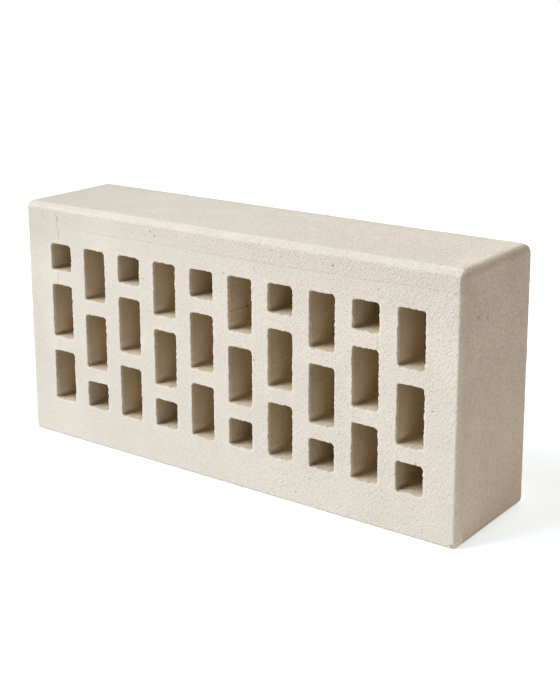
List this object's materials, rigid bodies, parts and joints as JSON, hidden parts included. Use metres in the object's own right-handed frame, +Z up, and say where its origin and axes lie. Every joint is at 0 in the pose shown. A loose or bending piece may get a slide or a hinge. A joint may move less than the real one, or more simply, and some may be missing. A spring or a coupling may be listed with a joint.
{
  "type": "clay brick",
  "caption": "Perforated clay facing brick with chamfered edges, standing on its plain long side, slots running through its thickness.",
  "frame": {"origin": "middle of the plain long side that the brick stands on", "axes": "+X along the brick's length, +Y through its thickness from one cut face to the other, +Z up"},
  "size_m": [0.25, 0.06, 0.12],
  "materials": {
    "fired_clay": "matt fired clay, fine sandy grain"
  },
  "bodies": {
    "root": {"brick": "fired_clay"}
  },
  "joints": []
}
